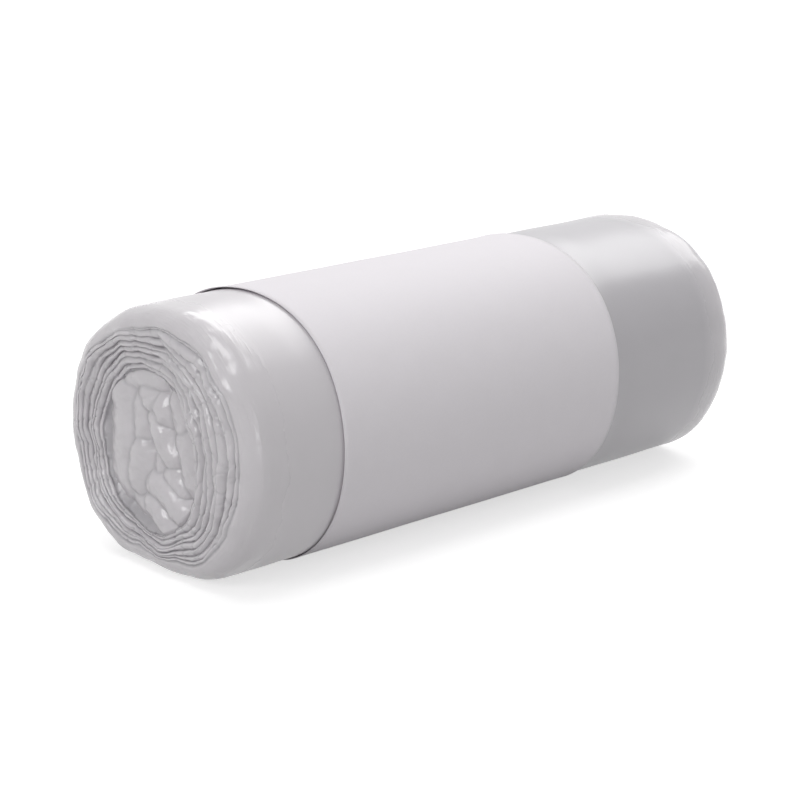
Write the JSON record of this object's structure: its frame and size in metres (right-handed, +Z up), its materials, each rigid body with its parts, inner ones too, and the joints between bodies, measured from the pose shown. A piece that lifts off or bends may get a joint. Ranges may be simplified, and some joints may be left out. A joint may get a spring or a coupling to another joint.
{
  "type": "bin bag roll",
  "caption": "Coreless roll of translucent plastic bin bags lying on its side, held shut by a plain paper band round its middle.",
  "frame": {"origin": "under the middle of the whole object, on the surface that it lies on", "axes": "+X along the roll, from the end nearer the band towards the other end; +Z up, away from the flat spot that the roll rests on; +Y across the roll"},
  "size_m": [0.205, 0.0868, 0.078],
  "materials": {
    "film": "frosted translucent polyethylene film in many turns, soft sheen",
    "paper": "smooth uncoated white paper, matte"
  },
  "bodies": {
    "root": {"bag_roll": "film", "paper_band": "paper"}
  },
  "joints": []
}
